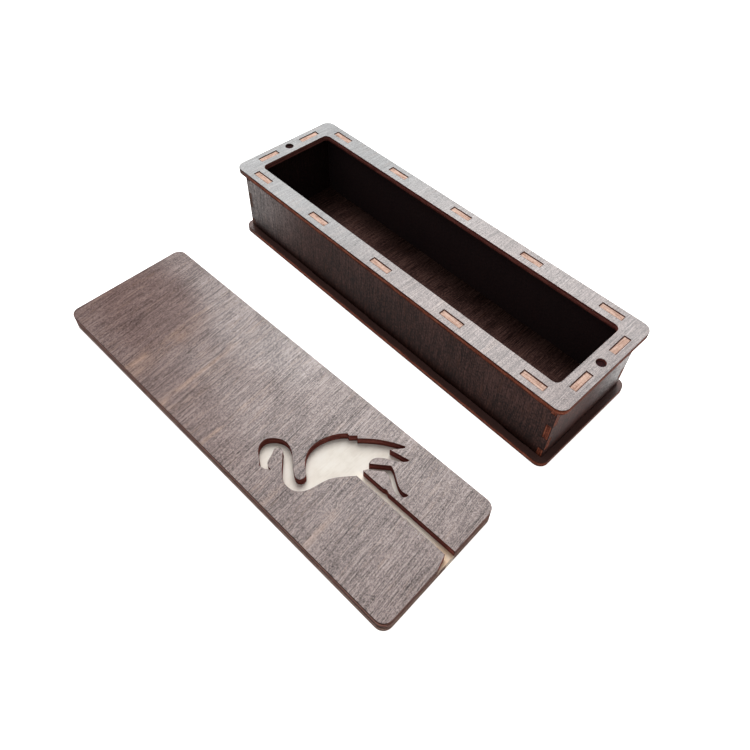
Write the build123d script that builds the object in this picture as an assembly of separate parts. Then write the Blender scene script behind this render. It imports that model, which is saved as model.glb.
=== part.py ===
from build123d import *
import os

# Organizer box of stained plywood with a loose lid, as cut from flat sheets.
# Four walls are finger-jointed at the corners. Their tenons pass through slots in a
# base plate below and a rim frame above. The lid lies beside the box. It is a stained
# panel with a wading bird cut through it, glued to a pale backing board that shows in
# the cut-out. Disc magnets in the rim's two holes meet magnets let into the backing
# board's underside and hold the lid shut.
# Millimetres. Origin at the centre of the base plate's underside, +X along the box,
# -Y towards the lid, +Z up.

# Box panels
sheet = 3.0              # plywood of the box
wall_length = 196.0      # over the outer faces of the end walls
wall_width = 55.2        # over the outer faces of the long walls
wall_height = 34.7       # from base plate to rim
flange = 3.0             # base plate and rim stand out past the walls
rim_lip = 3.5            # rim reaches in past the walls
plate_corner = 4.3       # corner radius of base plate, rim and lid
mouth_corner = 2.7       # corner radius of the rim's mouth

# Joinery
tenon_length = 11.0      # along the wall
tenon_recess = 0.4       # from a tenon's end to the plate's outer face
slot_clearance = 0.1     # all round a tenon in its slot
long_tenon_count = 5
long_tenon_margin = 5.5  # from the box's inside corner to a long wall's first tenon
end_tenon_count = 2
end_tenon_margin = 6.0   # from the box's inside corner to an end wall's first tenon
outer_finger = 5.0       # end wall's finger at the top and the bottom of a corner
middle_finger = 9.0      # end wall's finger between the long wall's two fingers
finger_clearance = 0.05  # above and below each of the long wall's fingers

# Magnets
magnet_diameter = 4.0
magnet_height = 2.0
magnet_chamfer = 0.2
magnet_clearance = 0.1   # all round a magnet in its hole
lid_magnet_recess = 0.2  # from a lid magnet to the backing board's underside

# Lid
lid_sheet = 4.0          # plywood of the lid's panel
backing_sheet = 4.0      # board under the panel
lid_overhang = 0.3       # past the rim all round
lid_gap = 34.25          # between box and lid as they lie side by side
lid_shift = 1.0          # along X
lid_turn = 2.84          # degrees about Z

# Bird cut through the lid's panel
leg_length = 47.3        # from the hip to the end of the lid
leg_width = 3.2          # slot of the standing leg, open at the end of the lid
leg_offset = 4.6         # slot's centre line from the lid's centre line
knee_distance = 12.8     # from the hip
knee_diameter = 3.6
knee_bulge = 0.5         # knee stands out past the slot's far edge
toe_depth = 2.0          # toe that widens the slot's mouth, from the end of the lid
toe_length = 6.5         # from the slot's near edge to the tip of the toe
bird_square = 0.494      # side of one square of the grid that the bird is drawn on

# The bird's outline in grid squares from its hip, along the leg and then across it.
# Each stretch begins where the one before it ends.
bird_outline = [
    Polyline((2, 0), (1, 4), (3, 7), (14, 15)),
    # Shin and foot of the raised leg
    Spline((14, 15), (22, 13), (30, 8), (34, 7), (41, 11)),
    Polyline((41, 11), (41, 13)),
    Spline((41, 13), (34, 12), (24, 17), (14, 22)),
    Polyline((14, 22), (0, 11)),
    # Rump and two tail feathers
    Spline((0, 11), (-1, 15), (8, 25), (21, 35)),
    Polyline((21, 35), (21, 36)),
    Spline((21, 36), (12, 34), (3, 32)),
    Polyline((3, 32), (11, 42), (10, 43)),
    Spline((10, 43), (-6, 35), (-23, 21)),
    # Two feather tips on the back
    Polyline((-23, 21), (-25, 23), (-30, 18), (-32, 19)),
    # Back, then the rounded tongue of wood between body and neck
    Spline((-32, 19), (-42, 4), (-43, -15), (-37, -24), (-29, -30)),
    ThreePointArc((-29, -30), (-28, -36), (-33, -38)),
    # Nape, crown and face down to the beak
    Spline((-33, -38), (-44, -31), (-52, -25), (-61, -22), (-70, -25), (-76, -32)),
    Spline((-76, -32), (-76, -37), (-72, -43), (-66, -47), (-61, -51)),
    Polyline((-61, -51), (-56, -50), (-52, -47)),
    # Throat
    Spline((-52, -47), (-59, -44), (-62, -37), (-64, -32), (-61, -29), (-56, -31)),
    # Front of the neck, breast and belly
    Spline((-56, -31), (-43, -43), (-36, -47), (-27, -47), (-20, -42), (-13, -21), (-7, -12), (0, -4)),
    Polyline((0, -4), (2, 0)),
]

# Sizes that follow
plate_length = wall_length + 2 * flange
plate_width = wall_width + 2 * flange
inside_length = wall_length - 2 * sheet
inside_width = wall_width - 2 * sheet
rim_bottom = sheet + wall_height
tenon_height = sheet - tenon_recess
long_tenon_pitch = (inside_length - 2 * long_tenon_margin - tenon_length) / (long_tenon_count - 1)
end_tenon_pitch = (inside_width - 2 * end_tenon_margin - tenon_length) / (end_tenon_count - 1)
long_finger = (wall_height - 2 * outer_finger - middle_finger) / 2
magnet_hole = magnet_diameter / 2 + magnet_clearance
magnet_spacing = wall_length - sheet
lid_length = plate_length + 2 * lid_overhang
lid_width = plate_width + 2 * lid_overhang
lid_place = Pos(lid_shift, -(plate_width / 2 + lid_gap + lid_width / 2), 0) * Rot(0, 0, lid_turn)

# Where the long walls' and the end walls' centre lines cross the plates
long_slots = GridLocations(long_tenon_pitch, wall_width - sheet, long_tenon_count, 2)
end_slots = GridLocations(wall_length - sheet, end_tenon_pitch, 2, end_tenon_count)
magnet_spots = GridLocations(magnet_spacing, 0, 2, 1)


def slotted_plate():
    """Outline shared by base plate and rim, with a slot for every tenon."""
    slot_length = tenon_length + 2 * slot_clearance
    slot_width = sheet + 2 * slot_clearance
    plate = RectangleRounded(plate_length, plate_width, plate_corner)
    plate -= long_slots * Rectangle(slot_length, slot_width)
    plate -= end_slots * Rectangle(slot_width, slot_length)
    return plate


def wall_outline(inside, tenon_count, tenon_pitch, fingers):
    """A wall in its own plane, from its foot up, with tenons and corner fingers."""
    middle = wall_height / 2
    outline = Pos(0, middle) * Rectangle(inside, wall_height)
    tenons = GridLocations(tenon_pitch, wall_height + tenon_height, tenon_count, 2)
    outline += Pos(0, middle) * tenons * Rectangle(tenon_length, tenon_height)
    for foot, height in fingers:
        outline += Pos(0, foot + height / 2) * Rectangle(inside + 2 * sheet, height)
    return outline


def make_long_wall(back_face):
    """Long wall whose far face lies at back_face."""
    first = outer_finger + finger_clearance
    second = outer_finger + long_finger + middle_finger + finger_clearance
    height = long_finger - 2 * finger_clearance
    outline = wall_outline(inside_length, long_tenon_count, long_tenon_pitch,
                           [(first, height), (second, height)])
    return Pos(0, back_face, sheet) * extrude(Plane.XZ * outline, sheet)


def make_end_wall(left_face):
    """End wall whose left face lies at left_face."""
    middle_foot = outer_finger + long_finger
    top_foot = wall_height - outer_finger
    outline = wall_outline(inside_width, end_tenon_count, end_tenon_pitch,
                           [(0, outer_finger), (middle_foot, middle_finger), (top_foot, outer_finger)])
    return Pos(left_face, 0, sheet) * extrude(Plane.YZ * outline, sheet)


def make_rim():
    """Frame on top of the walls, with the mouth and a hole over each end wall."""
    mouth_length = inside_length - 2 * rim_lip
    mouth_width = inside_width - 2 * rim_lip
    mouth = RectangleRounded(mouth_length, mouth_width, mouth_corner)
    outline = slotted_plate() - mouth - magnet_spots * Circle(magnet_hole)
    return Pos(0, 0, rim_bottom) * extrude(outline, sheet)


def bird_sketch():
    """The bird and its standing leg, which runs out at the lid's right end."""
    hip = Pos(lid_length / 2 - leg_length, leg_offset)
    bird = scale(make_face(bird_outline), bird_square)
    leg = Pos(leg_length / 2, 0) * Rectangle(leg_length, leg_width)
    knee_rise = leg_width / 2 + knee_bulge - knee_diameter / 2
    knee = Pos(knee_distance, knee_rise) * Circle(knee_diameter / 2)
    toe = make_face(Polyline((0, 0), (-toe_depth, 0), (0, -toe_length), close=True))
    return hip * (bird + leg + knee + Pos(leg_length, -leg_width / 2) * toe)


def make_lid_panel():
    """Stained panel lying on the backing board, with the bird cut through it."""
    outline = RectangleRounded(lid_length, lid_width, plate_corner) - bird_sketch()
    return Pos(0, 0, backing_sheet) * extrude(outline, lid_sheet)


def make_lid_backing():
    """Plain board of the lid's outline, with magnet pockets in its underside."""
    board = extrude(RectangleRounded(lid_length, lid_width, plate_corner), backing_sheet)
    pocket = extrude(Circle(magnet_hole), magnet_height + lid_magnet_recess)
    return board - magnet_spots * pocket


def make_magnet(x, foot):
    """Disc magnet on the centre line, standing at the given height."""
    disc = extrude(Circle(magnet_diameter / 2), magnet_height)
    disc = chamfer(disc.edges(), magnet_chamfer)
    return Pos(x, 0, foot) * disc


pieces = {
    "base_plate": extrude(slotted_plate(), sheet),
    "front_wall": make_long_wall(-inside_width / 2),
    "rear_wall": make_long_wall(wall_width / 2),
    "left_end_wall": make_end_wall(-wall_length / 2),
    "right_end_wall": make_end_wall(inside_length / 2),
    "rim_frame": make_rim(),
    "lid_panel": lid_place * make_lid_panel(),
    "lid_backing": lid_place * make_lid_backing(),
}
for side, sign in (("left", -1), ("right", 1)):
    x = sign * magnet_spacing / 2
    pieces[f"rim_magnet_{side}"] = make_magnet(x, rim_bottom)
    pieces[f"lid_magnet_{side}"] = lid_place * make_magnet(x, lid_magnet_recess)

os.makedirs("parts", exist_ok=True)
for name, piece in pieces.items():
    export_step(piece, f"parts/{name}.step")
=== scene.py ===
# %% [markdown]
# This lesson dresses a long narrow plywood box and its loose lid so that they look like the photograph.
# The shapes come from a CAD model and stay where it put them. Blender adds softened edges, stained wood,
# scorched plywood edges, a floor, the light and the camera.

# %% Load the CAD model
import math

import bpy
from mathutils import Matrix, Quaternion, Vector


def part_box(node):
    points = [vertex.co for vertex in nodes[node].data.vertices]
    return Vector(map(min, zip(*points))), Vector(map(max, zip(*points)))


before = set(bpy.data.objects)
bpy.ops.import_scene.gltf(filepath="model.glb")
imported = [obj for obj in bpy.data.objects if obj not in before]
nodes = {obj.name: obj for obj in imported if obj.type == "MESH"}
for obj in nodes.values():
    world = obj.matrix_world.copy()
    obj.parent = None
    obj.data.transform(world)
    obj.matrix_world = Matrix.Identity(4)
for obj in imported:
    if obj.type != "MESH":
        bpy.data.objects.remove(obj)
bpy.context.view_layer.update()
print("CAD nodes:", ", ".join(sorted(nodes)))

# %% [markdown]
# The photographer stood off the box's near right corner and looked down on it from about 49 degrees. The
# straight edges of the rim, the base and the lid run towards three vanishing points, and those give the
# lens, the place and the aim. The lens axis does not meet the picture's middle, as in a crop of a larger
# picture: a small shift of the lens puts that right.

# %% Camera
lens_millimetres = 32.401
sensor_millimetres = 36.0
camera_place = Vector((0.15129, -0.17564, 0.24473))
camera_aim = Vector((0.00033, -0.02486, 0.0))
camera_roll = math.radians(1.995)
lens_shift_x = -0.0081
lens_shift_y = -0.0657
nearest_view = 0.01

bpy.ops.object.select_all(action="DESELECT")
bpy.ops.object.camera_add(location=camera_place)
camera = bpy.context.object
camera.data.lens = lens_millimetres
camera.data.sensor_width = sensor_millimetres
camera.data.shift_x = lens_shift_x
camera.data.shift_y = lens_shift_y
camera.data.clip_start = nearest_view
camera.rotation_mode = "QUATERNION"
look = (camera_aim - camera_place).to_track_quat("-Z", "Y")
camera.rotation_quaternion = look @ Quaternion((0.0, 0.0, 1.0), camera_roll)
bpy.context.scene.camera = camera
print("camera stands", round((camera_aim - camera_place).length, 3), "m from its aim")

# %% [markdown]
# The picture has the plain white ground of a shop photograph, where the shadows were cleaned away. A wide,
# nearly white floor that glows like a light table does the same: hardly a shadow is left.

# %% Floor
floor_side = 8.0
floor_colour = (0.92, 0.918, 0.91, 1.0)
floor_glow = 1.0
floor_roughness = 0.9
floor_specular = 0.1

bpy.ops.object.select_all(action="DESELECT")
bpy.ops.mesh.primitive_plane_add(size=floor_side, location=(0.0, 0.0, 0.0))
floor = bpy.context.object
floor.name = "floor"
floor_finish = bpy.data.materials.new("pale_floor")
floor_finish.use_nodes = True
floor_shader = floor_finish.node_tree.nodes["Principled BSDF"]
floor_shader.inputs["Base Color"].default_value = floor_colour
floor_shader.inputs["Roughness"].default_value = floor_roughness
floor_shader.inputs["Specular IOR Level"].default_value = floor_specular
floor_shader.inputs["Emission Color"].default_value = floor_colour
floor_shader.inputs["Emission Strength"].default_value = floor_glow
floor.data.materials.append(floor_finish)
print("floor", floor_side, "m square")

# %% [markdown]
# The flat tops shine pale grey while the walls that face the camera stay dark, and the inside is nearly
# black. So the light comes from beyond the box's far left corner. A wide window stands low there, where the
# tops mirror it to the camera. The cut-out's far walls throw a short shadow on the board below, so a
# smaller and stronger lamp stands higher up on the same side. A weak light nearly overhead and a white
# surround keep the dark sides from going black.

# %% Light
softboxes = [
    # name, azimuth, elevation, distance, width, height, radiance, colour
    ("window", 35, 30, 1.2, 1.32, 0.62, 2.5, (0.95, 0.98, 1.0)),
    ("lamp", 48, 61.5, 1.3, 0.84, 0.84, 7.3, (1.0, 0.995, 0.98)),
    ("front_light", 175, 78, 1.3, 1.1, 0.8, 0.8, (1.0, 1.0, 1.0)),
]
surround_colour = (1.0, 1.0, 1.0, 1.0)
surround_strength = 0.27


def add_softbox(name, azimuth, elevation, distance, width, height, radiance, colour):
    """Area light aimed at the box. Azimuth turns from straight behind the box towards its left end."""
    turn = math.radians(azimuth)
    rise = math.radians(elevation)
    towards = Vector((-math.sin(turn) * math.cos(rise), math.cos(turn) * math.cos(rise), math.sin(rise)))
    bpy.ops.object.select_all(action="DESELECT")
    bpy.ops.object.light_add(type="AREA", location=towards * distance)
    softbox = bpy.context.object
    softbox.name = name
    softbox.data.shape = "RECTANGLE"
    softbox.data.size = width
    softbox.data.size_y = height
    softbox.data.energy = radiance * math.pi * width * height
    softbox.data.color = colour
    softbox.rotation_mode = "QUATERNION"
    softbox.rotation_quaternion = (-towards).to_track_quat("-Z", "Y")
    print(name, "gives", round(softbox.data.energy, 1), "W")


for softbox in softboxes:
    add_softbox(*softbox)

surround = bpy.data.worlds.new("white_surround")
surround.use_nodes = True
surround.node_tree.nodes["Background"].inputs["Color"].default_value = surround_colour
surround.node_tree.nodes["Background"].inputs["Strength"].default_value = surround_strength
bpy.context.scene.world = surround
bpy.context.scene.view_settings.view_transform = "Standard"

# %% [markdown]
# A laser leaves crisp edges, but handling and sanding round them a little. Bevel modifiers do that on the
# CAD panels without touching their meshes. The imported mesh is loose triangles, so its points are welded
# and its flat faces are joined first, or the bevel would find no edges to round.

# %% Softened edges
edge_round = 0.00015
round_steps = 2
weld_distance = 0.000001
flat_within = math.radians(0.5)
sharp_from = math.radians(40)
panels = ["base_plate", "rim_frame", "front_wall", "rear_wall", "left_end_wall", "right_end_wall",
          "lid_panel", "lid_backing"]


def soften_edges(piece):
    """Rounds the sharp edges of a CAD panel with live modifiers."""
    weld = piece.modifiers.new("weld", "WELD")
    weld.merge_threshold = weld_distance
    join = piece.modifiers.new("join_flat_faces", "DECIMATE")
    join.decimate_type = "DISSOLVE"
    join.angle_limit = flat_within
    bevel = piece.modifiers.new("soft_edges", "BEVEL")
    bevel.width = edge_round
    bevel.segments = round_steps
    bevel.limit_method = "ANGLE"
    bevel.angle_limit = sharp_from
    bevel.use_clamp_overlap = False
    bevel.harden_normals = True


for panel in panels:
    soften_edges(nodes[panel])
print("softened the edges of", len(panels), "panels")

# %% [markdown]
# A finish is a small net of shader nodes, and most of it is arithmetic on masks. This helper wraps a socket
# so that Python's own operators add the Math nodes. Any other node comes from its node method, which takes
# the node's type, its settings and what goes into its sockets.

# %% Shader maths
class Wire:
    """One shader socket, with arithmetic."""

    def __init__(self, tree, socket=None):
        self.tree = tree
        self.socket = socket

    def node(self, kind, settings=None, sockets=None):
        """Adds a node and returns the wire of its first output in use."""
        made = self.tree.nodes.new(kind)
        for key, value in (settings or {}).items():
            if key == "stops":
                fill_ramp(made.color_ramp, value)
            else:
                setattr(made, key, value)
        usable = [s for s in made.inputs if not s.is_unavailable]
        for key, value in (sockets or {}).items():
            target = usable[key] if isinstance(key, int) else next(s for s in usable if s.name == key)
            if isinstance(value, Wire):
                self.tree.links.new(value.socket, target)
            else:
                target.default_value = value
        given = [s for s in made.outputs if not s.is_unavailable]
        return Wire(self.tree, given[0] if given else None)

    def out(self, name):
        """Another output of the same node."""
        return Wire(self.tree, self.socket.node.outputs[name])

    def maths(self, operation, *values):
        """A Math node on these values."""
        return self.node("ShaderNodeMath", {"operation": operation}, dict(enumerate(values)))

    def __add__(self, other):
        return self.maths("ADD", self, other)

    def __sub__(self, other):
        return self.maths("SUBTRACT", self, other)

    def __rsub__(self, other):
        return self.maths("SUBTRACT", other, self)

    def __mul__(self, other):
        return self.maths("MULTIPLY", self, other)

    def __truediv__(self, other):
        return self.maths("DIVIDE", self, other)

    def __abs__(self):
        return self.maths("ABSOLUTE", self)

    __radd__ = __add__
    __rmul__ = __mul__

    def larger(self, other):
        """The larger of two values."""
        return self.maths("MAXIMUM", self, other)

    def rise(self, low, high):
        """0 below low, 1 above high and a smooth step between them."""
        return self.node("ShaderNodeMapRange", {"interpolation_type": "SMOOTHSTEP"},
                         {"Value": self, "From Min": low, "From Max": high})

    def blend(self, first, second):
        """Colour that goes from first to second as this mask goes from 0 to 1."""
        return self.node("ShaderNodeMix", {"data_type": "RGBA"}, {"Factor": self, "A": first, "B": second})

    def ramp(self, stops):
        """Colour that this value picks from a list of (position, colour)."""
        return self.node("ShaderNodeValToRGB", {"stops": stops}, {"Fac": self})


def fill_ramp(ramp, stops):
    """Sets a colour ramp to a list of (position, colour)."""
    while len(ramp.elements) < len(stops):
        ramp.elements.new(1.0)
    for element, (position, colour) in zip(ramp.elements, stops):
        element.position = position
        element.color = colour


def new_finish(name):
    """An empty material and a wire to build its nodes with."""
    finish = bpy.data.materials.new(name)
    finish.use_nodes = True
    finish.node_tree.nodes.clear()
    return finish, Wire(finish.node_tree)


print("shader helper ready")

# %% [markdown]
# Every panel is cut from the same kind of sheet, so one function makes the wood for all of them. It reads
# the panel's own coordinates in millimetres from its middle, so a grain line is as wide as on the real
# wood. The lid lies a little askew, so its pattern is turned with it: the line through its two magnets
# gives the angle.

# %% Panel coordinates
millimetre = 0.001
facing = (0.55, 0.85)    # share of a normal along an axis, from a surface that leans to one that faces it


def middle(name):
    """Middle of a node's box in metres."""
    low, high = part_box(name)
    return (low + high) / 2


def thickness(name):
    """Smallest side of a node's box in millimetres."""
    low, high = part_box(name)
    return min(high - low) / millimetre


def half_height(name):
    """Half of the height of a node's box in millimetres."""
    low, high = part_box(name)
    return (high.z - low.z) / 2 / millimetre


def panel_axes(bench, panel, letters, turn):
    """Wires of the place on a panel, X, Y and Z in millimetres, and of its normal, NX, NY and NZ.

    The letters name the axes that run across, along and through the grain, and these words name the same
    wires.
    """
    source = bench.node("ShaderNodeTexCoord")
    mapped = bench.node("ShaderNodeMapping", {"vector_type": "TEXTURE"},
                        {"Vector": source.out("Object"), "Location": middle(panel),
                         "Rotation": (0.0, 0.0, turn), "Scale": (millimetre, millimetre, millimetre)})
    place = bench.node("ShaderNodeSeparateXYZ", {}, {"Vector": mapped})
    turned = bench.node("ShaderNodeMapping", {"vector_type": "TEXTURE"},
                        {"Vector": source.out("Normal"), "Rotation": (0.0, 0.0, turn)})
    normal = bench.node("ShaderNodeSeparateXYZ", {}, {"Vector": turned})
    axes = {}
    for letter in "XYZ":
        axes[letter] = place.out(letter)
        axes["N" + letter] = normal.out(letter)
    for word, letter in zip(("across", "along", "through"), letters):
        axes[word] = axes[letter]
        axes["N " + word] = axes["N" + letter]
    return axes


lid_line = middle("lid_magnet_right") - middle("lid_magnet_left")
lid_turn = math.atan2(lid_line.y, lid_line.x)
print("lid is turned by", round(math.degrees(lid_turn), 2), "degrees")

# %% [markdown]
# The sheets are stained, open-grained wood. Fine fibres and short dark pores run along the grain, broader
# bands change the tone, and the whole sheet is a little cloudy. Noise that is drawn out along the grain
# makes each of these at its own width and length. An image of wood would do too, but noise has no edge and
# no repeat.

# %% Grain
# A layer is the width and length of its streaks in millimetres, a step in the seed and the noise's detail
waver_layer = (60.0, 90.0, 71, 2.0)
fine_layer = (0.22, 9.0, 0, 0.0)
fibre_layer = (0.40, 18.0, 11, 1.0)
strand_layer = (1.6, 55.0, 17, 2.0)
band_layer = (8.0, 140.0, 23, 2.0)
cloud_layer = (26.0, 30.0, 37, 2.0)
tint_layer = (1.6, 12.0, 61, 2.0)
pore_layer = (0.28, 3.0, 51, 0.0)
fine_share = 2.8
strand_share = 0.5
band_share = 0.8
speck_stretch = 1.5      # length of a speck in its own widths
speck_seed = 3
waver_reach = 4.0        # millimetres that a grain line wanders per unit of noise
pore_range = (0.20, 0.40)
noise_roughness = 0.6
noise_per_depth = 0.61   # steps through the noise per millimetre of depth, so that two faces differ


def streaks(across, along, through, layer, seed):
    """Noise about 0, in the streaks of one layer."""
    width, length, seed_step, detail = layer
    depth = through * noise_per_depth + (seed + seed_step)
    place = across.node("ShaderNodeCombineXYZ", {}, {"X": across / width, "Y": along / length, "Z": depth})
    noise = across.node("ShaderNodeTexNoise", {},
                        {"Vector": place, "Scale": 1.0, "Detail": detail, "Roughness": noise_roughness})
    return noise - 0.5


def grain(across, along, through, seed, stain):
    """Tone about 0 of the fibres and bands, a cloud and a tint of their own, and a mask of the pores."""
    across = across + streaks(across, along, through, waver_layer, seed) * waver_reach
    speck_layer = (stain["speck_size"], stain["speck_size"] * speck_stretch, speck_seed, 0.0)
    speck = streaks(across, along, through, speck_layer, seed)
    fine = streaks(across, along, through, fine_layer, seed)
    fibre = streaks(across, along, through, fibre_layer, seed)
    strand = streaks(across, along, through, strand_layer, seed)
    band = streaks(across, along, through, band_layer, seed)
    lines = fine * fine_share + fibre + strand * strand_share + band * band_share
    tone = speck * stain["speck"] + lines * stain["fibre"]
    cloud = streaks(across, along, through, cloud_layer, seed)
    tint = streaks(across, along, through, tint_layer, seed)
    pores = streaks(across, along, through, pore_layer, seed).rise(*pore_range)
    return tone, cloud, tint, pores


print("finest grain line", fine_layer[0], "mm wide, broadest band", band_layer[0], "mm")

# %% [markdown]
# The stain goes from deep to pale with the tone of the grain. On the walls that face the camera, painted
# light makes it paler upwards, and on the rim it is greyer towards the left end. In some bands it took less,
# and the wood shows warmer and paler there, most of all towards the near side. The bands could be left to
# chance, but on the lid the eye knows them by their places, so each has its own.

# %% Stained face
patch_layer = (4.0, 13.0, 83, 2.0)
pore_darkness = 0.5
tint_range = (0.04, 0.24)
patch_range = (-0.16, 0.16)
band_drift = 2.0         # millimetres that a pale band wanders per unit of noise
band_core = 0.2          # share of its half width where a pale band is strongest
band_near = (-22.0, 30.0)  # along the grain, from where a pale band is full to where it is weakest
band_far_share = 0.25    # strength that is left of a pale band at the far side
band_tone = 0.8
band_fibre = 0.6


def pale_bands(axes, leaning, tone, cloud, tint, stain, seed):
    """Mask of where the stain took less: faint streaks all over, and bands at places across the grain."""
    warmth = tint.rise(*tint_range) * stain["tint"]
    patchy = streaks(leaning, axes["along"], axes["through"], patch_layer, seed).rise(*patch_range)
    near = 1.0 - axes["along"].rise(*band_near)
    fade = near * (1.0 - band_far_share) + band_far_share
    for place, half_width, strength in stain["pale_bands"]:
        away = abs(leaning + cloud * band_drift + tint * band_drift - place)
        band = 1.0 - away.rise(half_width * band_core, half_width)
        warmth = warmth + band * fade * patchy * strength * (band_tone + tone * band_fibre)
    return warmth


def stained_face(axes, stain, seed):
    """Colour of a stained face, and the tone, cloud and pores that its coat follows."""
    leaning = axes["across"] + axes["along"] * stain["lean"]
    tone, cloud, tint, pores = grain(leaning, axes["along"], axes["through"], seed, stain)
    shade = 0.5 + tone * stain["contrast"] + cloud * stain["cloud"]
    # Painted light: on the walls that face the camera the stain is made paler upwards
    if "painted_top_light" in stain:
        shade = shade + axes["Z"] * stain["painted_top_light"]
    colour = shade.ramp([(0.0, stain["deep"]), (0.5, stain["body"]), (1.0, stain["pale"])])
    if "left_body" in stain:
        left = 1.0 - axes["across"].rise(*stain["left_fade"])
        colour = left.blend(colour, stain["left_body"])
    colour = pale_bands(axes, leaning, tone, cloud, tint, stain, seed).blend(colour, stain["warm"])
    colour = (pores * pore_darkness).blend(colour, stain["pore"])
    return colour, tone, cloud, pores


print("pale bands keep", band_far_share, "of their strength at the far side")

# %% [markdown]
# The laser leaves the cut edges bare and scorched: reddish brown, with the plies as lines along the edge.
# The plies cross each other, so on any edge some show long grain and the others their darker end grain. A
# stained skin makes a thin dark line next to each face, and the laser's pulses leave fine ticks across the
# edge.

# %% Cut edge
ply_share = 0.31         # of the sheet, for each outer ply
ply_blur = 0.06          # millimetres to either side of where two plies meet
glue_reach = (0.024, 0.108)  # millimetres from a glue line's middle, where it is full and where it is gone
glue_darkness = 0.55
stained_skin = 0.34      # depth in millimetres that the stain soaked in
skin_blur = 0.1
end_grain_turn = (0.3, 0.8)
spot_layer = (5.0, 1.3, 5, 3.0)
tick_layer = (0.45, 6.0, 9, 1.0)
edge_tone = 0.56
spot_share = 1.6
tick_share = 0.8
edge_stops = (0.12, 0.5, 0.85)


def cut_edge(axes, sheet, seed, edge):
    """Colour of an edge of plywood that the laser has cut."""
    through = axes["through"]
    depth = abs(through)
    core_half = sheet * (0.5 - ply_share)
    outer = depth.rise(core_half - ply_blur, core_half + ply_blur)
    end_grain = abs(axes["N along"]).rise(*end_grain_turn)
    dark_ply = outer * end_grain + (1.0 - outer) * (1.0 - end_grain)
    run = axes["across"] + axes["along"]
    spots = streaks(run, through, through, spot_layer, seed)
    ticks = streaks(run, through, through, tick_layer, seed)
    shade = edge_tone + spots * spot_share + ticks * tick_share - dark_ply * edge["plies"]
    colour = shade.ramp(list(zip(edge_stops, (edge["dark"], edge["body"], edge["pale"]))))
    glue = 1.0 - abs(depth - core_half).rise(*glue_reach)
    skin_foot = sheet / 2 - stained_skin
    skin = depth.rise(skin_foot - skin_blur, skin_foot + skin_blur)
    lines = (glue * glue_darkness).larger(skin * edge["skin"])
    return lines.blend(colour, edge["line"])


print("outer plies take", ply_share, "of a sheet each")

# %% [markdown]
# The ends of the tenons show through the rim's slots. They are bare pink wood, as if they were cut after the
# staining, with the laser's ticks across them and a scorched brown border.

# %% Tenon ends
tenon_length = 11.0
# Each of these is how far in from the outside, in millimetres, a tone sets in and how far in it is full
tenon_zone = (0.6, 0.3)
end_border = (0.45, 0.12)
side_border = (0.40, 0.10)
border_strength = 0.85
bare_tick_layer = (0.4, 5.0, 13, 1.0)
scratch_layer = (5.0, 0.5, 17, 2.0)
bare_tick_share = 1.2
scratch_share = 1.8
peach = [(0.1, (0.29, 0.16, 0.115, 1.0)), (0.5, (0.52, 0.345, 0.275, 1.0)), (0.9, (0.66, 0.48, 0.40, 1.0))]
scorched = (0.07, 0.030, 0.022, 1.0)


def at_border(distance, half, border):
    """0 in the middle and 1 at the border of something that reaches half to either side."""
    return abs(distance).rise(half - border[0], half - border[1])


def tenon_end(axes, sheet, seed, count, pitch):
    """Colour of the ends of a wall's tenons, which stand at this pitch across its grain."""
    run = axes["across"]
    through = axes["through"]
    if count % 2:
        from_tenon = run.maths("WRAP", run, pitch / 2, -pitch / 2)
    else:
        from_tenon = abs(run) - pitch / 2
    ticks = streaks(run, through, through, bare_tick_layer, seed)
    scratches = streaks(run, through, through, scratch_layer, seed)
    colour = (0.5 + ticks * bare_tick_share + scratches * scratch_share).ramp(peach)
    near_end = at_border(from_tenon, tenon_length / 2, end_border)
    near_side = at_border(through, sheet / 2, side_border)
    return (near_end.larger(near_side) * border_strength).blend(colour, scorched)


print("tenon ends", tenon_length, "mm long")

# %% [markdown]
# Some shading is painted into the stain, because this light alone does not give it. The front wall has
# painted shade at the foot, where it meets the base plate, and the rear wall and the left end wall are
# painted greyer inside than outside. The base plate is the floor of the box too: the part that stands out
# past the walls is painted lighter, as painted light, and the floor inside has painted shade at the left
# end and along the far wall. Masks on the panel's coordinates lay these tones over the stain.

# %% Painted shade and light
inner_strength = 0.6
foot_shade_zone = (-17.3, -8.5)      # height from the wall's middle
foot_shade_strength = 0.78
dusk_left = (-92.0, -50.0)     # from the base plate's middle along the box
dusk_far = (8.0, 24.0)         # and across it
dusk_strength = 0.6
inside_half = (98.4, 28.0)     # half length and half width that the flange goes round
outline_border = (0.5, 0.2)    # how far in from a plate's outline its border sets in and is full
corner_border = (3.6, 3.0)     # the same at its round corners, along both axes together


def cut_out(axes, half_length, half_width):
    """1 within a plate of this size, 0 at its outer edges and round corners."""
    end = at_border(axes["X"], half_length, outline_border)
    side = at_border(axes["Y"], half_width, outline_border)
    corner = at_border(abs(axes["X"]) + abs(axes["Y"]), half_length + half_width, corner_border)
    return 1.0 - end.larger(side).larger(corner)


def painted_shade_and_light(axes, colour, stain):
    """Colour of a face with its painted shade and painted light laid over it."""
    # Painted tone on the inner faces of the rear and left end walls
    if "inner" in stain:
        side, inner_tone = stain["inner"]
        inner = (axes["N through"] * side).rise(*facing)
        colour = (inner * inner_strength).blend(colour, inner_tone)
    # Painted shade at the foot of the front wall, where it meets the base plate
    if "foot" in stain:
        foot = 1.0 - axes["Z"].rise(*foot_shade_zone)
        colour = (foot * foot_shade_strength).blend(colour, stain["foot"])
    if "flange" in stain:
        # Painted shade on the box's floor at the left end and along the far wall, in the pores' colour
        left_end = 1.0 - axes["X"].rise(*dusk_left)
        far_side = axes["Y"].rise(*dusk_far)
        colour = (left_end.larger(far_side) * dusk_strength).blend(colour, stain["pore"])
        # Painted light: the flange outside the walls is lighter than the floor inside
        colour = cut_out(axes, *inside_half).blend(stain["flange"], colour)
    return colour


print("front wall is darker up to", round(foot_shade_zone[1] - foot_shade_zone[0], 1), "mm above the foot")

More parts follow.
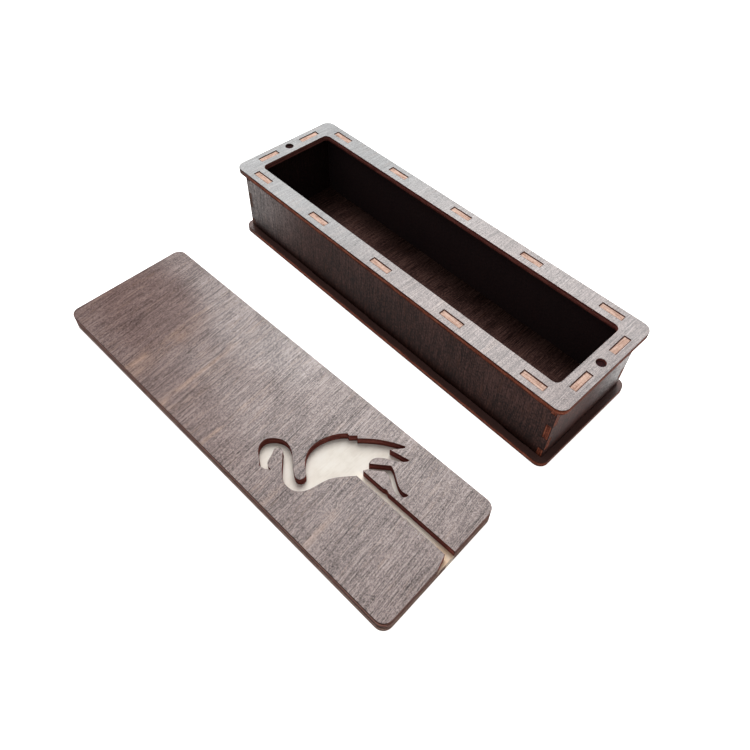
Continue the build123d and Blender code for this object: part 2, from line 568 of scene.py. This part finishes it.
# %% [markdown]
# The faces have the satin sheen of waxed wood. A clear coat over the stain gives it, thinner in the pores
# and on the darker fibres, and the edges have none. No hand spreads wax evenly: slopes and round patches
# make the coat stronger or weaker from place to place. The edges differ too. Those of the mouth and of the
# bird are redder than the outer ones, and at the box's left end the outer ones are greyer.

# %% Satin coat and edges
patch_cloud = 0.8
patch_fade = (0.2, 1.4)
left_zone = (-100.0, -84.0)
left_strength = 0.9


def satin_coat(axes, tone, cloud, pores, stain):
    """Weight of the coat on a stained face."""
    coat = stain["coat"] * (1.0 + tone * stain["sheen_contrast"] + cloud * stain["sheen_cloud"])
    coat = coat * (1.0 - pores * stain["pore_depth"])
    for letter, start, end, gain in stain["sheen_slopes"]:
        coat = coat * (1.0 + axes[letter].rise(start, end) * gain)
    for x, y, half_x, half_y, gain in stain["sheen_patches"]:
        away_x = (axes["X"] - x) / half_x
        away_y = (axes["Y"] - y) / half_y
        patch = 1.0 - (away_x * away_x + away_y * away_y + cloud * patch_cloud).rise(*patch_fade)
        coat = coat * (1.0 + patch * gain)
    return coat


def panel_edge(axes, sheet, seed, edge):
    """Colour of all the edges of a panel."""
    colour = cut_edge(axes, sheet, seed, edge)
    if "inside" in edge:
        inside_colour = cut_edge(axes, sheet, seed, edge["inside"])
        colour = cut_out(axes, *edge["outline"]).blend(colour, inside_colour)
    if "left" in edge:
        left = 1.0 - axes["X"].rise(*left_zone)
        colour = (left * left_strength).blend(colour, edge["left"])
    return colour


print("edges turn grey from", left_zone[1], "mm to", left_zone[0], "mm along the box")

# %% [markdown]
# A panel shows its stained faces, its cut edges and, on a wall, the ends of its tenons. The surface normal
# tells faces and edges apart, so one material serves the whole panel and the mesh needs no second slot. The
# fibres stand a little proud of the pores, which a faint bump shows in grazing light.

# %% Panel finish
edge_roughness = 0.62
face_polish = 0.12
tone_roughness = 0.06
bump_strength = 0.5
bump_depth = 0.00004
fibre_relief = 0.7
pore_relief = 0.6


def panel_finish(name, panel, letters, stain, edge, seed, turn, tenons):
    """Material of one plywood panel."""
    finish, bench = new_finish(name)
    axes = panel_axes(bench, panel, letters, turn)
    sheet = thickness(panel)
    face = abs(axes["N through"]).rise(*facing)
    stained, tone, cloud, pores = stained_face(axes, stain, seed)
    colour = face.blend(panel_edge(axes, sheet, seed, edge), painted_shade_and_light(axes, stained, stain))
    if tenons:
        ends = at_border(axes["Z"], half_height(panel), tenon_zone) * abs(axes["NZ"]).rise(*facing)
        colour = ends.blend(colour, tenon_end(axes, sheet, seed, *tenons))
    relief = (tone * fibre_relief - pores * pore_relief) * face
    bump = bench.node("ShaderNodeBump", {},
                      {"Strength": bump_strength, "Distance": bump_depth, "Height": relief})
    shader = bench.node("ShaderNodeBsdfPrincipled", {}, {
        "Base Color": colour, "Roughness": edge_roughness - face * face_polish + tone * tone_roughness,
        "Normal": bump, "Specular IOR Level": stain["specular"],
        "Coat Weight": satin_coat(axes, tone, cloud, pores, stain) * face,
        "Coat Roughness": stain["coat_rough"], "Coat IOR": stain["coat_ior"]})
    bench.node("ShaderNodeOutputMaterial", {}, {"Surface": shader})
    return finish


print("relief of the grain", bump_depth / millimetre, "mm")

# %% [markdown]
# The walls, the base plate, the rim and the lid took the stain differently, so each has a set of values:
# its colours from deep to pale, how strong each layer of the grain is, and how the coat shines. The sets of
# the box's other panels start from one and change only what differs, painted shade and light among it.

# %% Stains of walls and base plate
box_stain = {
    "pore": (0.008, 0.004, 0.003, 1.0), "deep": (0.009, 0.0035, 0.003, 1.0),
    "body": (0.031, 0.0125, 0.010, 1.0), "pale": (0.072, 0.033, 0.028, 1.0),
    "warm": (0.060, 0.022, 0.013, 1.0), "pale_bands": [], "tint": 0.5, "lean": 0.0,
    "speck_size": 0.75, "speck": 2.1, "fibre": 0.55, "contrast": 0.55, "cloud": 0.8,
    "coat": 0.018, "coat_ior": 1.5, "coat_rough": 0.34, "specular": 0.03,
    "sheen_contrast": 0.8, "sheen_cloud": 0.5, "pore_depth": 0.6,
    # A slope is an axis, where it starts, where it ends and the gain there
    "sheen_slopes": [],
    # A patch is its middle, its two half widths and the gain in it
    "sheen_patches": [],
}
# The front wall carries painted shade at its foot and painted light that makes it paler upwards
front_stain = dict(
    box_stain, foot=(0.012, 0.004, 0.003, 1.0), speck=2.2, fibre=0.95, painted_top_light=0.014, coat=0.012,
    sheen_slopes=[("X", -43.0, -103.0, 20.0), ("Z", -16.0, 14.0, 1.0)])
# For an inner face: the sign of its normal through the sheet, and its painted tone
rear_stain = dict(
    box_stain, body=(0.038, 0.018, 0.016, 1.0), specular=0.05, inner=(-1.0, (0.046, 0.036, 0.040, 1.0)))
left_stain = dict(box_stain, inner=(1.0, (0.014, 0.011, 0.011, 1.0)))
# The right end wall carries painted light that makes it paler upwards
right_stain = dict(
    box_stain, deep=(0.014, 0.0055, 0.0045, 1.0), body=(0.042, 0.017, 0.014, 1.0),
    pale=(0.095, 0.043, 0.036, 1.0), painted_top_light=0.012, coat=0.02, sheen_slopes=[("Y", -4.0, 25.0, 30.0)])
# The base plate's flange is painted lighter than its floor inside, as painted light
base_stain = dict(
    box_stain, deep=(0.014, 0.006, 0.005, 1.0), body=(0.062, 0.029, 0.025, 1.0),
    pale=(0.15, 0.080, 0.066, 1.0), flange=(0.10, 0.052, 0.044, 1.0), coat=0.08,
    speck=1.3, fibre=1.0, contrast=0.6,
    sheen_patches=[(99.5, 24.0, 5.0, 14.0, 9.0), (-99.0, -30.0, 7.0, 6.0, 6.0)])
print("stains mixed for the walls and the base plate")

# %% [markdown]
# The rim and the lid are paler than the walls and have grain of their own, with pale bands across the sheet.
# The rim is greyer towards its left end. On the lid the grain leans a little.

# %% Stains of rim and lid
rim_stain = {
    "pore": (0.012, 0.007, 0.006, 1.0), "deep": (0.030, 0.013, 0.011, 1.0),
    "body": (0.090, 0.041, 0.034, 1.0), "pale": (0.16, 0.088, 0.074, 1.0),
    "warm": (0.22, 0.14, 0.11, 1.0), "tint": 0.25, "lean": 0.0,
    # A pale band is its place across the grain, its half width and its strength
    "pale_bands": [(34.0, 2.5, 0.8), (62.0, 2.0, 0.7)],
    "left_body": (0.028, 0.025, 0.027, 1.0), "left_fade": (-60.0, 40.0),
    "speck_size": 0.30, "speck": 3.2, "fibre": 0.9, "contrast": 0.5, "cloud": 0.4,
    "coat": 0.49, "coat_ior": 3.6, "coat_rough": 0.50, "specular": 0.02,
    "sheen_contrast": 0.27, "sheen_cloud": 0.2, "pore_depth": 0.35, "sheen_slopes": [],
    "sheen_patches": [
        (28.0, -27.0, 78.0, 12.0, -0.13), (-101.0, 0.0, 12.0, 40.0, 0.12), (99.0, 7.0, 8.0, 18.0, 0.10),
        (-82.0, -28.0, 30.0, 12.0, 0.14), (16.0, -28.0, 34.0, 12.0, -0.10), (80.0, 28.0, 38.0, 12.0, 0.16),
        (99.0, 28.0, 12.0, 10.0, 0.14), (97.0, -27.0, 11.0, 10.0, -0.07)],
}
lid_stain = {
    "pore": (0.016, 0.008, 0.007, 1.0), "deep": (0.025, 0.010, 0.008, 1.0),
    "body": (0.095, 0.043, 0.036, 1.0), "pale": (0.18, 0.098, 0.080, 1.0),
    "warm": (0.25, 0.14, 0.095, 1.0), "tint": 0.28, "lean": 0.09,
    "pale_bands": [
        (-57.0, 1.8, 0.9), (-30.5, 1.6, 1.0), (-2.9, 1.3, 1.0), (34.5, 2.4, 0.55), (58.3, 2.2, 0.5),
        (-54.0, 8.0, 0.45), (-27.0, 8.0, 0.45)],
    "speck_size": 0.28, "speck": 3.2, "fibre": 0.88, "contrast": 0.47, "cloud": 0.5,
    "coat": 0.345, "coat_ior": 2.5, "coat_rough": 0.42, "specular": 0.02,
    "sheen_contrast": 0.5, "sheen_cloud": 0.5, "pore_depth": 0.5, "sheen_slopes": [("Y", 5.0, 31.0, 0.1)],
    "sheen_patches": [
        (-80.0, -3.0, 36.0, 24.0, -0.38), (-92.0, 28.0, 26.0, 14.0, 0.14), (-33.0, 26.0, 46.0, 20.0, 0.32),
        (-25.0, -27.0, 50.0, 18.0, -0.22), (35.0, -27.0, 36.0, 16.0, -0.09)],
}
print("stains mixed for the rim and the lid, with", len(lid_stain["pale_bands"]), "pale bands on the lid")

# %% [markdown]
# An edge has its colours from dark to pale, the colour of its lines, how dark the stained skin is on it and
# how much darker the end grain is. The box, its mouth, the bird and the lid's two sheets have a set each.

# %% Edges
box_edge = {
    "dark": (0.055, 0.012, 0.006, 1.0), "body": (0.155, 0.040, 0.021, 1.0),
    "pale": (0.24, 0.078, 0.044, 1.0), "line": (0.012, 0.005, 0.004, 1.0), "skin": 0.9, "plies": 0.3,
}
left_wall_edge = dict(
    box_edge, dark=(0.030, 0.014, 0.010, 1.0), body=(0.075, 0.037, 0.028, 1.0),
    pale=(0.13, 0.070, 0.054, 1.0))
mouth_edge = {
    "dark": (0.16, 0.045, 0.036, 1.0), "body": (0.33, 0.105, 0.085, 1.0),
    "pale": (0.44, 0.16, 0.13, 1.0), "line": (0.04, 0.012, 0.010, 1.0), "skin": 0.5, "plies": 0.3,
}
base_edge = dict(box_edge, left=(0.056, 0.040, 0.035, 1.0))
rim_edge = dict(base_edge, inside=mouth_edge, outline=(101.0, 30.6))
bird_edge = {
    "dark": (0.12, 0.032, 0.025, 1.0), "body": (0.205, 0.062, 0.049, 1.0),
    "pale": (0.29, 0.105, 0.082, 1.0), "line": (0.07, 0.018, 0.013, 1.0), "skin": 0.5, "plies": 0.3,
}
lid_edge = {
    "dark": (0.036, 0.015, 0.011, 1.0), "body": (0.14, 0.051, 0.036, 1.0),
    "pale": (0.18, 0.088, 0.068, 1.0), "line": (0.014, 0.006, 0.005, 1.0), "skin": 0.85, "plies": 0.5,
    "inside": bird_edge, "outline": (101.3, 30.9),
}
backing_edge = {
    "dark": (0.060, 0.033, 0.026, 1.0), "body": (0.19, 0.108, 0.082, 1.0),
    "pale": (0.27, 0.19, 0.15, 1.0), "line": (0.022, 0.010, 0.008, 1.0), "skin": 0.9, "plies": 0.5,
}
print("edges mixed for the box, its mouth, the bird and the lid's two sheets")

# %% [markdown]
# Now each panel gets its material. The grain runs across the box on its plates and upright on its walls, as
# the photograph shows, and every panel has its own seed, so no two have the same grain.

# %% Dress the panels
long_tenons = (5, 42.0)  # count and pitch
end_tenons = (2, 26.2)
panel_plan = {
    # material, axes across, along and through the grain, stain, edge, seed, turn, tenons
    "base_plate": ("base_ply", "XYZ", base_stain, base_edge, 3.1, 0.0, None),
    "rim_frame": ("rim_ply", "XYZ", rim_stain, rim_edge, 7.7, 0.0, None),
    "front_wall": ("front_ply", "XZY", front_stain, box_edge, 15.2, 0.0, long_tenons),
    "rear_wall": ("rear_ply", "XZY", rear_stain, box_edge, 21.9, 0.0, long_tenons),
    "left_end_wall": ("left_end_ply", "YZX", left_stain, left_wall_edge, 30.4, 0.0, end_tenons),
    "right_end_wall": ("right_end_ply", "YZX", right_stain, box_edge, 36.8, 0.0, end_tenons),
    "lid_panel": ("lid_ply", "XYZ", lid_stain, lid_edge, 44.3, lid_turn, None),
}
for panel, (material, letters, stain, edge, seed, turn, tenons) in panel_plan.items():
    nodes[panel].data.materials[0] = panel_finish(material, panel, letters, stain, edge, seed, turn, tenons)
print("panels finished:", len(panel_plan))

# %% [markdown]
# The board under the lid shows its cream face in the cut-out. It has no stain and no coat, only a faint
# mottle. The narrow leg slot lets little light in, so the strip below it is drawn paler. At the toe it is
# tanned, as by the laser's smoke. The board's edges are scorched like the rest, but a little paler, and
# palest where the slot runs out.

# %% Backing board
cream = [(0.1, (0.68, 0.63, 0.565, 1.0)), (0.5, (0.755, 0.71, 0.645, 1.0)), (0.9, (0.79, 0.755, 0.70, 1.0))]
mottle_share = 1.4
cream_fibre_share = 0.5
mottle_layer = (5.0, 7.0, 0, 3.0)
cream_fibre_layer = (0.6, 5.0, 3, 1.0)
slot_line = 4.6          # middle of the leg slot, across the lid
slot_half = (1.6, 2.4)   # from there to where the paler strip fades and where it is gone
slot_start = (50.0, 56.0)
slot_floor = (0.97, 0.90, 0.79, 1.0)
smoke_zone = (88.0, 100.0)
smoke_strength = 0.7
smoke_mottle = 1.5
smoke_tan = (0.78, 0.53, 0.33, 1.0)
toe_line = 4.0           # middle of the slot's mouth with its toe
toe_half = (1.4, 3.0)
toe_strength = 0.8
toe_edge = (0.45, 0.38, 0.31, 1.0)
board_roughness = 0.75
board_specular = 0.06


def board_finish(name, panel, seed, turn, edge):
    """Material of the pale board."""
    finish, bench = new_finish(name)
    axes = panel_axes(bench, panel, "XYZ", turn)
    face = abs(axes["NZ"]).rise(*facing)
    mottle = streaks(axes["X"], axes["Y"], axes["Z"], mottle_layer, seed)
    fibre = streaks(axes["X"], axes["Y"], axes["Z"], cream_fibre_layer, seed)
    face_colour = (0.5 + mottle * mottle_share + fibre * cream_fibre_share).ramp(cream)
    strip = (1.0 - abs(axes["Y"] - slot_line).rise(*slot_half)) * axes["X"].rise(*slot_start)
    face_colour = strip.blend(face_colour, slot_floor)
    smoke = axes["X"].rise(*smoke_zone) * (smoke_strength + mottle * smoke_mottle)
    face_colour = smoke.blend(face_colour, smoke_tan)
    edge_colour = cut_edge(axes, thickness(panel), seed, edge)
    toe = axes["NX"].rise(*facing) * (1.0 - abs(axes["Y"] - toe_line).rise(*toe_half))
    edge_colour = (toe * toe_strength).blend(edge_colour, toe_edge)
    shader = bench.node("ShaderNodeBsdfPrincipled", {}, {
        "Base Color": face.blend(edge_colour, face_colour), "Roughness": board_roughness,
        "Specular IOR Level": board_specular})
    bench.node("ShaderNodeOutputMaterial", {}, {"Surface": shader})
    return finish


board_seed = 52.6
pale_board = board_finish("pale_board", "lid_backing", board_seed, lid_turn, backing_edge)
nodes["lid_backing"].data.materials[0] = pale_board
print("backing board finished,", round(thickness("lid_backing"), 2), "mm thick")

# %% [markdown]
# Deep in the rim's two holes and in the pockets under the lid sit small magnets. They are nearly black, matt
# and a little rusty, so a dark metal with a speckle of brown is enough.

# %% Magnets
speckle_scale = 2600.0
speckle_detail = 4.0
rust_range = (0.48, 0.66)
iron_black = (0.014, 0.005, 0.006, 1.0)
rust_brown = (0.045, 0.010, 0.010, 1.0)
magnet_metallic = 0.5
rust_metallic_loss = 0.4
magnet_roughness = 0.55
rust_roughness_gain = 0.25
magnet_specular = 0.05


def magnet_finish(name):
    """Material of all the magnets."""
    finish, bench = new_finish(name)
    source = bench.node("ShaderNodeTexCoord")
    speckle = bench.node("ShaderNodeTexNoise", {}, {"Vector": source.out("Object"), "Scale": speckle_scale,
                                                    "Detail": speckle_detail})
    rust = speckle.rise(*rust_range)
    shader = bench.node("ShaderNodeBsdfPrincipled", {}, {
        "Base Color": rust.blend(iron_black, rust_brown),
        "Metallic": magnet_metallic - rust * rust_metallic_loss,
        "Roughness": magnet_roughness + rust * rust_roughness_gain,
        "Specular IOR Level": magnet_specular})
    bench.node("ShaderNodeOutputMaterial", {}, {"Surface": shader})
    return finish


dark_magnet = magnet_finish("dark_magnet")
magnets = [name for name in nodes if "magnet" in name]
for magnet in magnets:
    nodes[magnet].data.materials[0] = dark_magnet
print("magnets finished:", len(magnets))
